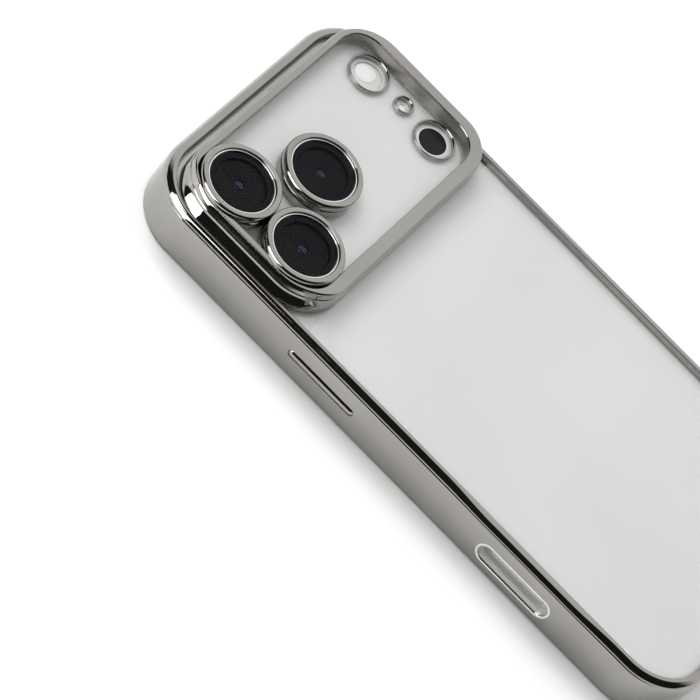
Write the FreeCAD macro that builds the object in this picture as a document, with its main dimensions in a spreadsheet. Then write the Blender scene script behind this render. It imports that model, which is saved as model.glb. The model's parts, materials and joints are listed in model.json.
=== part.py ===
import FreeCAD, Part
import os
import Sketcher

# A smartphone lying face down in its protective case, back upwards.
# Frame: millimetres, +Z out of the back, +Y towards the phone's top edge, +X towards the side
# with the volume buttons. The origin is under the centre of the case, on the plane of the
# case's front lip, which is the surface that the whole object rests on.

# Driving dimensions. Each becomes an aliased cell of the sheet "Dims".
DIMENSIONS = {
    # case: outer outline, front lip, back rim and its edge rounding
    "case_width": 75.2,
    "case_length": 153.4,
    "case_corner": 14.0,
    "case_height": 11.9,
    "case_edge_round": 1.3,
    "case_gap": 0.05,
    "lip_height": 1.5,
    "lip_overlap": 0.95,
    "rim_width": 2.3,
    "plate_thick": 1.2,
    # case: raised frame round the camera plateau
    "frame_width": 71.6,
    "frame_low": 30.6,
    "frame_high": 72.9,
    "frame_step_top": 14.6,
    "frame_step": 0.8,
    "frame_top": 16.2,
    "frame_corner": 9.5,
    "frame_high_corner": 11.0,
    "frame_round": 0.45,
    "window_width": 64.4,
    "window_low": 34.2,
    "window_high": 70.7,
    "window_corner": 6.5,
    "window_thick": 0.8,
    "collar_outer": 9.2,
    "collar_neck": 8.6,
    "collar_inner": 8.15,
    "collar_bevel": 0.25,
    "collar_top": 17.2,
    # case: button pads, with a flange behind the wall, and the side and end cut-outs
    "pad_high": 1.9,
    "pad_proud": 0.4,
    "pad_flange_rim": 0.7,
    "pad_flange_thick": 0.45,
    "pad_recess": 0.9,
    "pad_gap": 0.08,
    "cutout_long": 18.8,
    "cutout_high": 4.4,
    "cutout_z": 5.2,
    "bead_width": 1.2,
    "port_cutout_wide": 13.0,
    "port_cutout_high": 6.0,
    "sound_cutout_wide": 15.0,
    "sound_cutout_high": 3.0,
    "sound_x": 18.0,
    # phone: outline and walls
    "phone_width": 71.9,
    "phone_length": 150.0,
    "phone_corner": 12.5,
    "phone_thick": 8.75,
    "frame_setback": 0.2,
    "edge_round": 1.6,
    "wall": 2.4,
    "back_floor": 1.1,
    "glass_inset": 1.2,
    "cover_glass": 0.9,
    "panel_thick": 1.2,
    "gasket_width": 0.9,
    "rear_glass_width": 65.6,
    "rear_glass_low": -72.2,
    "rear_glass_high": 28.4,
    "rear_glass_corner": 9.4,
    "rear_glass_thick": 0.7,
    # phone: camera plateau and the bay inside it
    "plateau_width": 68.4,
    "plateau_low": 33.2,
    "plateau_high": 71.4,
    "plateau_corner": 8.0,
    "plateau_rise": 1.8,
    "plateau_roof": 1.0,
    "bay_left": -33.3,
    "bay_right": 31.6,
    "bay_low": 34.3,
    "bay_high": 70.3,
    # lenses
    "lens_column_x": -24.0,
    "lens_middle_x": -5.6,
    "lens_upper_y": 61.6,
    "lens_middle_y": 52.2,
    "lens_lower_y": 43.2,
    "lens_glass_radius": 7.3,
    "lens_glass_thick": 0.8,
    "glass_sink": 0.1,
    "trim_radius": 8.0,
    "trim_rise": 5.1,
    "trim_shank": 7.5,
    "trim_aperture": 6.3,
    "lens_hole": 7.55,
    "carriage_radius": 5.9,
    "carriage_bore": 6.25,
    "carriage_low": 5.7,
    "carriage_high": 15.7,
    "element_radius": 3.4,
    # sensors beside the lenses
    "flash_x": 27.1,
    "flash_y": 61.6,
    "mic_x": 27.8,
    "mic_y": 51.7,
    "lidar_x": 26.9,
    "lidar_y": 41.9,
    "flash_radius": 3.5,
    "mic_radius": 0.9,
    "lidar_radius": 3.6,
    "eyelet_gap": 0.8,
    "eyelet_wall": 0.65,
    # side buttons
    "button_z": 5.7,
    "button_high": 2.6,
    "button_proud": 0.4,
    "button_gap": 0.06,
    "button_flange": 0.45,
    "button_flange_rim": 0.6,
    "power_y": 21.2,
    "power_long": 16.9,
    "camera_control_y": -34.75,
    "camera_control_long": 15.4,
    "action_y": 43.0,
    "action_long": 7.0,
    "volume_up_y": 29.5,
    "volume_down_y": 15.5,
    "volume_long": 10.4,
    "pad_extra": 1.5,
    # lower edge
    "port_wide": 9.0,
    "port_high": 3.2,
    "port_deep": 7.5,
    "port_wall": 0.3,
    "tongue_wide": 6.7,
    "tongue_thick": 0.7,
    "screw_x": 7.4,
    "screw_radius": 0.9,
    "screw_long": 3.0,
    "sound_hole_radius": 0.75,
    "sound_hole_step": 2.4,
    "band_width": 1.2,
    "band_y": 60.0,
    "band_lower_y": -61.0,
    # inside
    "battery_half_width": 30.6,
    "battery_low": -50.5,
    "battery_high": 30.5,
    "battery_bottom": 3.9,
    "battery_top": 8.0,
    "coil_y": -14.0,
    "coil_outer": 21.0,
    "coil_inner": 8.0,
    "magnet_outer": 27.4,
    "magnet_inner": 23.6,
    "coil_bottom": 8.35,
    "coil_thick": 0.65,
    "board_left": 5.4,
    "board_right": 31.2,
    "board_low": 33.4,
    "board_high": 64.0,
    "board_bottom": 5.2,
    "board_thick": 0.8,
    "shield_margin": 1.4,
    "housing_left": -32.3,
    "housing_right": 2.6,
    "housing_low": 34.7,
    "housing_high": 69.4,
    "housing_bottom": 4.2,
    "housing_floor": 0.4,
    "housing_top": 10.9,
    "haptic_left": -30.8,
    "haptic_right": -7.4,
    "haptic_low": -63.0,
    "haptic_high": -53.0,
    "haptic_bottom": 4.1,
    "haptic_top": 8.1,
    "haptic_skin": 0.5,
    "haptic_travel": 1.0,
}

# Heights and spans worked out from the driving dimensions.
PHONE_FRONT = "Dims.lip_height"
FRAME_FRONT = "(Dims.lip_height + Dims.frame_setback)"
PHONE_BACK = "(Dims.lip_height + Dims.phone_thick)"
PLATE_BOTTOM = "(Dims.lip_height + Dims.phone_thick + Dims.case_gap)"
PLATEAU_TOP = "(Dims.lip_height + Dims.phone_thick + Dims.plateau_rise)"
PLATEAU_CEILING = "(Dims.lip_height + Dims.phone_thick + Dims.plateau_rise - Dims.plateau_roof)"
WINDOW_BOTTOM = "(Dims.lip_height + Dims.phone_thick + Dims.plateau_rise + 2 * Dims.case_gap)"
WINDOW_TOP = (
    "(Dims.lip_height + Dims.phone_thick + Dims.plateau_rise + 2 * Dims.case_gap + Dims.window_thick)"
)
TRIM_TOP = "(Dims.lip_height + Dims.phone_thick + Dims.plateau_rise + Dims.trim_rise)"
FLOOR_BOTTOM = "(Dims.lip_height + Dims.phone_thick - Dims.back_floor)"
REAR_GLASS_BOTTOM = "(Dims.lip_height + Dims.phone_thick - Dims.rear_glass_thick)"
GLASS_BACK = "(Dims.lip_height + Dims.cover_glass)"
PANEL_BACK = "(Dims.lip_height + Dims.cover_glass + Dims.panel_thick)"
CAVITY_WIDTH = "(Dims.phone_width + 2 * Dims.case_gap)"
CAVITY_LENGTH = "(Dims.phone_length + 2 * Dims.case_gap)"
CASE_SIDE = "(Dims.case_width / 2)"
CAVITY_SIDE = "(Dims.phone_width / 2 + Dims.case_gap)"
PHONE_SIDE = "(Dims.phone_width / 2)"
PHONE_END = "(Dims.phone_length / 2)"

# Lenses: name, centre x, centre y.
LENSES = (
    ("wide", "Dims.lens_column_x", "Dims.lens_upper_y"),
    ("ultrawide", "Dims.lens_middle_x", "Dims.lens_middle_y"),
    ("telephoto", "Dims.lens_column_x", "Dims.lens_lower_y"),
)

# Sensor openings of the plateau: name, centre x, centre y, radius of the phone's own opening.
SENSORS = (
    ("flash", "Dims.flash_x", "Dims.flash_y", "Dims.flash_radius"),
    ("microphone", "Dims.mic_x", "Dims.mic_y", "Dims.mic_radius"),
    ("lidar", "Dims.lidar_x", "Dims.lidar_y", "Dims.lidar_radius"),
)

# Buttons under a case pad: name, side (-1 is the -X wall), centre y, cap length.
PADDED_BUTTONS = (
    ("power", -1, "Dims.power_y", "Dims.power_long"),
    ("volume_up", 1, "Dims.volume_up_y", "Dims.volume_long"),
    ("volume_down", 1, "Dims.volume_down_y", "Dims.volume_long"),
    ("action", 1, "Dims.action_y", "Dims.action_long"),
)

doc = FreeCAD.newDocument("smartphone")
sheet = doc.addObject("Spreadsheet::Sheet", "Dims")
subparts = []


def fill_sheet():
    for row, (alias, value) in enumerate(DIMENSIONS.items(), start=1):
        sheet.set(f"A{row}", alias)
        sheet.set(f"B{row}", str(value))
        sheet.setAlias(f"B{row}", alias)
    doc.recompute()


def number(expression):
    return float(sheet.evalExpression(str(expression)))


def new_body(label):
    body = doc.addObject("PartDesign::Body", label)
    body.Label = label
    subparts.append(body)
    return body


def sketch_on(body, role, offset):
    """A sketch on one of the body's own origin planes, moved along the plane's normal."""
    plane = [item for item in body.Origin.OriginFeatures if item.Role == role][0]
    sketch = body.newObject("Sketcher::SketchObject", f"{body.Label}_sketch")
    sketch.AttachmentSupport = (plane, [""])
    sketch.MapMode = "FlatFace"
    sketch.setExpression("AttachmentOffset.Base.z", str(offset))
    return sketch


def hold(sketch, kind, *args, size):
    """Add a dimension to the sketch and tie it to the sheet."""
    index = sketch.addConstraint(Sketcher.Constraint(kind, *args, number(size)))
    sketch.setExpression(f"Constraints[{index}]", str(size))


def draw_outline(sketch, x0, x1, y0, y1, low_radius, high_radius=None):
    """A rectangle with rounded corners; the two corners at y1 may have their own radius."""
    high_radius = high_radius or low_radius
    left, right, low, high = (number(value) for value in (x0, x1, y0, y1))
    radii = [number(radius) for radius in (low_radius, low_radius, high_radius, high_radius)]
    corners = [(left, low), (right, low), (right, high), (left, high)]
    inward = [(1, 1), (-1, 1), (-1, -1), (1, -1)]
    centres = [
        FreeCAD.Vector(corner[0] + radius * sign[0], corner[1] + radius * sign[1], 0)
        for corner, sign, radius in zip(corners, inward, radii)
    ]
    up = FreeCAD.Vector(0, 0, 1)
    quarter = 1.5707963267948966
    arcs = []
    for index, (centre, radius) in enumerate(zip(centres, radii)):
        start = quarter * (index + 2)
        arc = Part.ArcOfCircle(Part.Circle(centre, up, radius), start, start + quarter)
        arcs.append(sketch.addGeometry(arc, False))
    lines = []
    for index in range(4):
        first = sketch.getPoint(arcs[index], 2)
        last = sketch.getPoint(arcs[(index + 1) % 4], 1)
        lines.append(sketch.addGeometry(Part.LineSegment(first, last), False))
    for index in range(4):
        sketch.addConstraint(Sketcher.Constraint("Tangent", arcs[index], 2, lines[index], 1))
        following = arcs[(index + 1) % 4]
        sketch.addConstraint(Sketcher.Constraint("Tangent", lines[index], 2, following, 1))
    for index in (0, 2):
        sketch.addConstraint(Sketcher.Constraint("Horizontal", lines[index]))
    for index in (1, 3):
        sketch.addConstraint(Sketcher.Constraint("Vertical", lines[index]))
    hold(sketch, "DistanceX", -1, 1, lines[3], 1, size=x0)
    hold(sketch, "DistanceX", -1, 1, lines[1], 1, size=x1)
    hold(sketch, "DistanceY", -1, 1, lines[0], 1, size=y0)
    hold(sketch, "DistanceY", -1, 1, lines[2], 1, size=y1)
    sketch.addConstraint(Sketcher.Constraint("Equal", arcs[0], arcs[1]))
    sketch.addConstraint(Sketcher.Constraint("Equal", arcs[2], arcs[3]))
    hold(sketch, "Radius", arcs[0], size=low_radius)
    hold(sketch, "Radius", arcs[2], size=high_radius)


def draw_circle(sketch, x, y, radius):
    centre = FreeCAD.Vector(number(x), number(y), 0)
    circle = sketch.addGeometry(Part.Circle(centre, FreeCAD.Vector(0, 0, 1), number(radius)), False)
    hold(sketch, "DistanceX", -1, 1, circle, 3, size=x)
    hold(sketch, "DistanceY", -1, 1, circle, 3, size=y)
    hold(sketch, "Radius", circle, size=radius)


def draw_centred(sketch, width, length, radius):
    """A rounded rectangle centred on the sketch's origin."""
    draw_outline(sketch, f"-{width} / 2", f"{width} / 2", f"-{length} / 2", f"{length} / 2", radius)


def draw_slot(sketch, centre_u, centre_v, long, high):
    """A slot with round ends, long along the sketch's first axis."""
    draw_outline(
        sketch,
        f"{centre_u} - ({long}) / 2",
        f"{centre_u} + ({long}) / 2",
        f"{centre_v} - ({high}) / 2",
        f"{centre_v} + ({high}) / 2",
        f"({high}) * 0.49",
    )


def pad(body, sketch, length, downwards=False):
    feature = body.newObject("PartDesign::Pad", f"{body.Label}_pad")
    feature.Profile = sketch
    feature.Reversed = downwards
    feature.setExpression("Length", str(length))
    doc.recompute()
    return feature


def pocket(body, sketch, length, along_normal=True):
    """Cut the sketch's outline out of the body and make sure that something was cut."""
    before = body.Shape.Volume
    feature = body.newObject("PartDesign::Pocket", f"{body.Label}_pocket")
    feature.Profile = sketch
    feature.Reversed = along_normal
    feature.setExpression("Length", str(length))
    doc.recompute()
    if body.Shape.Volume > before - 1e-3:
        raise RuntimeError(f"a pocket of {body.Label} cuts nothing")
    return feature


def fillet_edges(body, base, radius, wanted):
    """Round the base feature's edges whose bounding box the test accepts."""
    names = [
        f"Edge{index}"
        for index, edge in enumerate(base.Shape.Edges, start=1)
        if wanted(edge.BoundBox)
    ]
    feature = body.newObject("PartDesign::Fillet", f"{body.Label}_fillet")
    feature.Base = (base, names)
    feature.setExpression("Radius", str(radius))
    doc.recompute()
    return feature


def at_height(height):
    """Accepts edges that lie flat at this height."""
    level = number(height)
    return lambda box: abs(box.ZMin - level) < 1e-4 and abs(box.ZMax - level) < 1e-4


def slab(label, draw, bottom, thickness):
    """A body that is one flat plate; draw(sketch) gives its outline."""
    body = new_body(label)
    sketch = sketch_on(body, "XY_Plane", bottom)
    draw(sketch)
    pad(body, sketch, thickness)
    return body


def cut_outline(body, draw, bottom, depth):
    """Cut upwards from the height 'bottom' through 'depth'."""
    sketch = sketch_on(body, "XY_Plane", bottom)
    draw(sketch)
    pocket(body, sketch, depth)


def cut_wall(body, side, outer, depth, draw):
    """Cut inwards from a plane parallel to the side walls; side is -1 or 1."""
    sketch = sketch_on(body, "YZ_Plane", f"{side} * {outer}")
    draw(sketch)
    pocket(body, sketch, depth, along_normal=side < 0)


def cut_lower_edge(body, outer, depth, draw):
    """Cut towards +Y from a plane parallel to the lower edge."""
    sketch = sketch_on(body, "XZ_Plane", outer)
    draw(sketch)
    pocket(body, sketch, depth, along_normal=False)


def block(label, x0, x1, y0, y1, z0, z1, radius="0.5"):
    """A plain block with rounded vertical edges between six planes."""
    return slab(label, lambda s: draw_outline(s, x0, x1, y0, y1, radius), z0, f"{z1} - ({z0})")


def disc(label, x, y, radius, bottom, thickness, bore=None):
    """A disc, or a ring where it has a bore, standing along Z."""

    def draw(sketch):
        draw_circle(sketch, x, y, radius)
        if bore:
            draw_circle(sketch, x, y, bore)

    return slab(label, draw, bottom, thickness)


def add_group(label, solids):
    """Alike pieces that share one node."""
    feature = doc.addObject("Part::Feature", label)
    feature.Label = label
    feature.Shape = Part.makeCompound(solids)
    subparts.append(feature)


# ---------------------------------------------------------------- case

def pad_length(cap_long):
    return f"({cap_long} + Dims.pad_extra)"


def make_case_bumper():
    body = new_body("case_bumper")
    outline = sketch_on(body, "XY_Plane", 0)
    draw_centred(outline, "Dims.case_width", "Dims.case_length", "Dims.case_corner")
    shell = pad(body, outline, "Dims.case_height")
    flat = at_height("Dims.case_height")
    floor = at_height("0")
    fillet_edges(body, shell, "Dims.case_edge_round", lambda box: flat(box) or floor(box))

    for inset, top in (("0", "Dims.frame_step_top"), ("Dims.frame_step", "Dims.frame_top")):
        raised = sketch_on(body, "XY_Plane", PLATE_BOTTOM)
        draw_outline(
            raised,
            f"-Dims.frame_width / 2 + {inset}",
            f"Dims.frame_width / 2 - {inset}",
            f"Dims.frame_low + {inset}",
            f"Dims.frame_high - {inset}",
            f"Dims.frame_corner - {inset}",
            f"Dims.frame_high_corner - {inset}",
        )
        tier = pad(body, raised, f"{top} - {PLATE_BOTTOM}")
        fillet_edges(body, tier, "Dims.frame_round", at_height(top))

    bead = sketch_on(body, "YZ_Plane", f"-{CASE_SIDE} - Dims.pad_proud")
    draw_slot(
        bead,
        "Dims.camera_control_y",
        "Dims.cutout_z",
        "(Dims.cutout_long + 2 * Dims.bead_width)",
        "(Dims.cutout_high + Dims.bead_width)",
    )
    bead_pad = pad(body, bead, "Dims.pad_proud + 0.5")
    outer_face = -number(CASE_SIDE) - number("Dims.pad_proud")
    on_face = lambda box: abs(box.XMin - outer_face) < 1e-4 and abs(box.XMax - outer_face) < 1e-4
    fillet_edges(body, bead_pad, "Dims.pad_proud * 0.8", on_face)

    cut_outline(
        body,
        lambda s: draw_centred(
            s,
            "(Dims.phone_width - 2 * Dims.lip_overlap)",
            "(Dims.phone_length - 2 * Dims.lip_overlap)",
            "(Dims.phone_corner - Dims.lip_overlap)",
        ),
        0,
        "Dims.lip_height",
    )
    cut_outline(
        body,
        lambda s: draw_centred(s, CAVITY_WIDTH, CAVITY_LENGTH, "(Dims.phone_corner + Dims.case_gap)"),
        PHONE_FRONT,
        f"{PLATE_BOTTOM} - {PHONE_FRONT}",
    )
    cut_outline(body, draw_back_plate, PLATE_BOTTOM, f"Dims.case_height - {PLATE_BOTTOM}")
    cut_outline(
        body,
        lambda s: draw_outline(
            s,
            "-Dims.plateau_width / 2 - Dims.case_gap",
            "Dims.plateau_width / 2 + Dims.case_gap",
            "Dims.plateau_low - Dims.case_gap",
            "Dims.plateau_high + Dims.case_gap",
            "Dims.plateau_corner",
        ),
        PLATE_BOTTOM,
        f"{WINDOW_BOTTOM} - {PLATE_BOTTOM}",
    )
    cut_outline(body, draw_window, WINDOW_BOTTOM, f"Dims.frame_top - {WINDOW_BOTTOM}")
    for name, x, y in LENSES:
        if name != "ultrawide":
            cut_outline(
                body,
                lambda s: draw_circle(s, x, y, "Dims.collar_neck"),
                WINDOW_BOTTOM,
                "Dims.window_thick",
            )
            cut_outline(
                body,
                lambda s: draw_circle(s, x, y, "Dims.collar_outer"),
                WINDOW_TOP,
                f"Dims.frame_top - {WINDOW_TOP}",
            )
    cut_case_walls(body)


def cut_case_walls(body):
    """Openings in the case's side and lower walls."""
    through = "(Dims.pad_proud + Dims.case_width / 2 - Dims.phone_width / 2)"
    for name, side, y, cap_long in PADDED_BUTTONS:
        long = pad_length(cap_long)
        gap = "2 * Dims.pad_gap"
        rim = "2 * Dims.pad_flange_rim"
        cut_wall(
            body,
            side,
            f"({CASE_SIDE} + Dims.pad_proud)",
            through,
            lambda s: draw_slot(s, y, "Dims.button_z", f"{long} + {gap}", f"Dims.pad_high + {gap}"),
        )
        cut_wall(
            body,
            side,
            f"({CAVITY_SIDE} + Dims.pad_recess)",
            "Dims.pad_recess",
            lambda s: draw_slot(
                s, y, "Dims.button_z", f"{long} + {rim} + {gap}", f"Dims.pad_high + {rim} + {gap}"
            ),
        )
    cut_wall(
        body,
        -1,
        f"({CASE_SIDE} + Dims.pad_proud)",
        through,
        lambda s: draw_slot(
            s, "Dims.camera_control_y", "Dims.cutout_z", "Dims.cutout_long", "Dims.cutout_high"
        ),
    )
    end_wall = "(Dims.case_length / 2 - Dims.phone_length / 2)"
    cut_lower_edge(
        body,
        "Dims.case_length / 2",
        end_wall,
        lambda s: draw_slot(s, 0, "Dims.button_z", "Dims.port_cutout_wide", "Dims.port_cutout_high"),
    )
    for side in (-1, 1):
        cut_lower_edge(
            body,
            "Dims.case_length / 2",
            end_wall,
            lambda s: draw_slot(
                s,
                f"{side} * Dims.sound_x",
                "Dims.button_z",
                "Dims.sound_cutout_wide",
                "Dims.sound_cutout_high",
            ),
        )


def draw_back_plate(sketch):
    draw_outline(
        sketch,
        "-Dims.case_width / 2 + Dims.rim_width",
        "Dims.case_width / 2 - Dims.rim_width",
        "-Dims.case_length / 2 + Dims.rim_width",
        "Dims.frame_low",
        "Dims.case_corner - Dims.rim_width",
        "1.5",
    )


def draw_window(sketch):
    draw_outline(
        sketch,
        "-Dims.window_width / 2",
        "Dims.window_width / 2",
        "Dims.window_low",
        "Dims.window_high",
        "Dims.window_corner",
    )


def make_case_back_plate():
    slab("case_back_plate", draw_back_plate, PLATE_BOTTOM, "Dims.plate_thick")


def make_case_plateau_window():
    """Clear sheet in the raised frame, with a round hole for each collar and eyelet."""
    body = slab("case_plateau_window", draw_window, WINDOW_BOTTOM, "Dims.window_thick")
    for name, x, y in LENSES:
        cut_outline(
            body,
            lambda s: draw_circle(s, x, y, "Dims.collar_neck"),
            WINDOW_BOTTOM,
            "Dims.window_thick",
        )
    for name, x, y, radius in SENSORS:
        cut_outline(
            body,
            lambda s: draw_circle(s, x, y, eyelet_outer(radius)),
            WINDOW_BOTTOM,
            "Dims.window_thick",
        )


def eyelet_outer(radius):
    return f"{radius} + Dims.eyelet_gap + Dims.eyelet_wall"


def make_case_collars():
    """Ring round each lens: a neck through the window and a wider head on top of it."""
    bevel = "Dims.collar_bevel"
    points = (
        ("Dims.collar_inner", WINDOW_BOTTOM),
        ("Dims.collar_neck", WINDOW_BOTTOM),
        ("Dims.collar_neck", WINDOW_TOP),
        ("Dims.collar_outer", WINDOW_TOP),
        ("Dims.collar_outer", f"Dims.collar_top - {bevel}"),
        (f"Dims.collar_outer - {bevel}", "Dims.collar_top"),
        (f"Dims.collar_inner + {bevel}", "Dims.collar_top"),
        ("Dims.collar_inner", f"Dims.collar_top - {bevel}"),
    )
    for name, x, y in LENSES:
        turned(f"case_collar_{name}", x, y, points)


def make_case_eyelets():
    for name, x, y, radius in SENSORS:
        disc(
            f"case_eyelet_{name}",
            x,
            y,
            eyelet_outer(radius),
            WINDOW_BOTTOM,
            "Dims.window_thick + 0.3",
            f"{radius} + Dims.eyelet_gap",
        )


def make_case_pads():
    """A bar through the wall and a wider flange behind it, above the phone's own button."""
    for name, side, y, cap_long in PADDED_BUTTONS:
        body = new_body(f"case_{name}_pad")
        long = pad_length(cap_long)
        rim = "2 * Dims.pad_flange_rim"
        flange_outer = f"({CAVITY_SIDE} + Dims.pad_recess - 0.02)"
        bar = sketch_on(body, "YZ_Plane", f"{side} * ({CASE_SIDE} + Dims.pad_proud)")
        draw_slot(bar, y, "Dims.button_z", long, "Dims.pad_high")
        reach = f"{CASE_SIDE} + Dims.pad_proud - {flange_outer} + Dims.pad_flange_thick"
        bar_pad = pad(body, bar, reach, downwards=side > 0)
        face = side * (number(CASE_SIDE) + number("Dims.pad_proud"))
        on_face = lambda box: abs(box.XMin - face) < 1e-4 and abs(box.XMax - face) < 1e-4
        fillet_edges(body, bar_pad, "Dims.pad_proud", on_face)
        flange = sketch_on(body, "YZ_Plane", f"{side} * {flange_outer}")
        draw_slot(flange, y, "Dims.button_z", f"{long} + {rim}", f"Dims.pad_high + {rim}")
        pad(body, flange, "Dims.pad_flange_thick", downwards=side > 0)


# ---------------------------------------------------------------- phone body

def make_enclosure():
    """One machined metal shell: side walls, back floor and the raised camera plateau."""
    body = new_body("enclosure")
    outline = sketch_on(body, "XY_Plane", FRAME_FRONT)
    draw_centred(outline, "Dims.phone_width", "Dims.phone_length", "Dims.phone_corner")
    blank = pad(body, outline, f"{PHONE_BACK} - {FRAME_FRONT}")
    front = at_height(FRAME_FRONT)
    back = at_height(PHONE_BACK)
    fillet_edges(body, blank, "Dims.edge_round", lambda box: back(box))
    fillet_edges(body, body.Tip, "Dims.glass_inset * 0.6", lambda box: front(box))

    raised = sketch_on(body, "XY_Plane", FLOOR_BOTTOM)
    draw_outline(
        raised,
        "-Dims.plateau_width / 2",
        "Dims.plateau_width / 2",
        "Dims.plateau_low",
        "Dims.plateau_high",
        "Dims.plateau_corner",
    )
    plateau = pad(body, raised, f"{PLATEAU_TOP} - {FLOOR_BOTTOM}")
    fillet_edges(body, plateau, "Dims.plateau_rise * 0.35", at_height(PLATEAU_TOP))

    cut_outline(
        body,
        lambda s: draw_inset(s, "Dims.glass_inset"),
        FRAME_FRONT,
        f"{GLASS_BACK} - {FRAME_FRONT}",
    )
    cut_outline(body, lambda s: draw_inset(s, "Dims.wall"), GLASS_BACK, f"{FLOOR_BOTTOM} - {GLASS_BACK}")
    cut_outline(body, draw_rear_glass, REAR_GLASS_BOTTOM, "Dims.rear_glass_thick")
    cut_outline(
        body,
        lambda s: draw_circle(s, "0.001", "Dims.coil_y", "Dims.magnet_outer"),
        FLOOR_BOTTOM,
        f"{REAR_GLASS_BOTTOM} - {FLOOR_BOTTOM}",
    )
    cut_outline(
        body,
        lambda s: draw_outline(
            s, "Dims.bay_left", "Dims.bay_right", "Dims.bay_low", "Dims.bay_high", "6"
        ),
        FLOOR_BOTTOM,
        f"{PLATEAU_CEILING} - {FLOOR_BOTTOM}",
    )
    roof = "Dims.plateau_roof"
    for name, x, y in LENSES:
        cut_outline(body, lambda s: draw_circle(s, x, y, "Dims.lens_hole"), PLATEAU_CEILING, roof)
    for name, x, y, radius in SENSORS:
        cut_outline(body, lambda s: draw_circle(s, x, y, radius), PLATEAU_CEILING, roof)
    cut_enclosure_walls(body)


def cut_enclosure_walls(body):
    """Button slots, antenna breaks, port, screw and sound holes in the enclosure's walls."""
    for name, side, y, cap_long in PADDED_BUTTONS + (
        ("camera_control", -1, "Dims.camera_control_y", "Dims.camera_control_long"),
    ):
        gap = "2 * Dims.button_gap"
        cut_wall(
            body,
            side,
            PHONE_SIDE,
            "Dims.wall",
            lambda s: draw_slot(
                s, y, "Dims.button_z", f"{cap_long} + {gap}", f"Dims.button_high + {gap}"
            ),
        )
    for side in (-1, 1):
        for y in ("Dims.band_y", "Dims.band_lower_y"):
            cut_outline(
                body,
                lambda s: draw_band(s, side, y),
                FRAME_FRONT,
                f"{PHONE_BACK} - {FRAME_FRONT}",
            )
    cut_lower_edge(
        body,
        PHONE_END,
        "Dims.wall",
        lambda s: draw_slot(s, 0, "Dims.button_z", "Dims.port_wide", "Dims.port_high"),
    )
    for side in (-1, 1):
        cut_lower_edge(
            body,
            PHONE_END,
            "Dims.wall",
            lambda s: draw_circle(s, f"{side} * Dims.screw_x", "Dims.button_z", "Dims.screw_radius"),
        )
        for step in (-2, -1, 0, 1, 2):
            cut_lower_edge(
                body,
                PHONE_END,
                "Dims.wall",
                lambda s: draw_circle(
                    s,
                    f"{side} * Dims.sound_x + {step} * Dims.sound_hole_step",
                    "Dims.button_z",
                    "Dims.sound_hole_radius",
                ),
            )


def draw_inset(sketch, inset):
    """The phone's outline moved inwards by a constant width."""
    draw_centred(
        sketch,
        f"(Dims.phone_width - 2 * {inset})",
        f"(Dims.phone_length - 2 * {inset})",
        f"(Dims.phone_corner - {inset})",
    )


def draw_rear_glass(sketch):
    draw_outline(
        sketch,
        "-Dims.rear_glass_width / 2",
        "Dims.rear_glass_width / 2",
        "Dims.rear_glass_low",
        "Dims.rear_glass_high",
        "Dims.rear_glass_corner",
    )


def draw_band(sketch, side, y):
    """A short rectangle across one side wall, where the antenna break goes."""
    ends = sorted((f"{side} * ({PHONE_SIDE} - Dims.wall)", f"{side} * ({PHONE_SIDE} + 0.5)"), key=number)
    draw_outline(sketch, ends[0], ends[1], f"{y} - Dims.band_width / 2", f"{y} + Dims.band_width / 2", "0.05")


def make_antenna_bands():
    """Plastic inlays that fill the breaks flush with the rounded outer wall."""
    thick = number(f"{PHONE_BACK} - {FRAME_FRONT}")
    width = number("Dims.phone_width")
    length = number("Dims.phone_length")
    wall = number("Dims.wall")
    band = number("Dims.band_width")
    blank = doc.getObject("enclosure_fillet001").Shape
    pieces = []
    for side in (-1, 1):
        for y in (number("Dims.band_y"), number("Dims.band_lower_y")):
            x0 = width / 2 - wall if side > 0 else -width / 2
            corner = FreeCAD.Vector(x0, y - band / 2, number(FRAME_FRONT))
            inlay = Part.makeBox(wall, band, thick, corner)
            pieces.append(inlay.common(blank).Solids[0])
    inset = number("Dims.glass_inset")
    seat = Part.makeBox(width - 2 * inset, length, number(GLASS_BACK))
    seat.translate(FreeCAD.Vector(-width / 2 + inset, -length / 2, 0))
    add_group("antenna_bands", [piece.cut(seat).Solids[0] for piece in pieces])


def make_glass_and_display():
    slab("rear_glass", draw_rear_glass, REAR_GLASS_BOTTOM, "Dims.rear_glass_thick")
    slab("display_cover_glass", lambda s: draw_inset(s, "Dims.glass_inset"), PHONE_FRONT, "Dims.cover_glass")
    gasket_inner = "(Dims.wall + Dims.gasket_width)"

    def draw_gasket(sketch):
        draw_inset(sketch, "Dims.wall")
        draw_inset(sketch, gasket_inner)

    slab("display_gasket", draw_gasket, GLASS_BACK, "Dims.panel_thick * 0.5")
    slab("display_panel", lambda s: draw_inset(s, gasket_inner), GLASS_BACK, "Dims.panel_thick")


def make_buttons():
    """Cap through the wall with a retaining flange inside; travels inwards along X."""
    for name, side, y, cap_long in PADDED_BUTTONS:
        make_button(f"{name}_button", side, y, cap_long, "Dims.button_proud")
    make_button(
        "camera_control_button",
        -1,
        "Dims.camera_control_y",
        "Dims.camera_control_long",
        "Dims.case_gap",
    )


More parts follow.
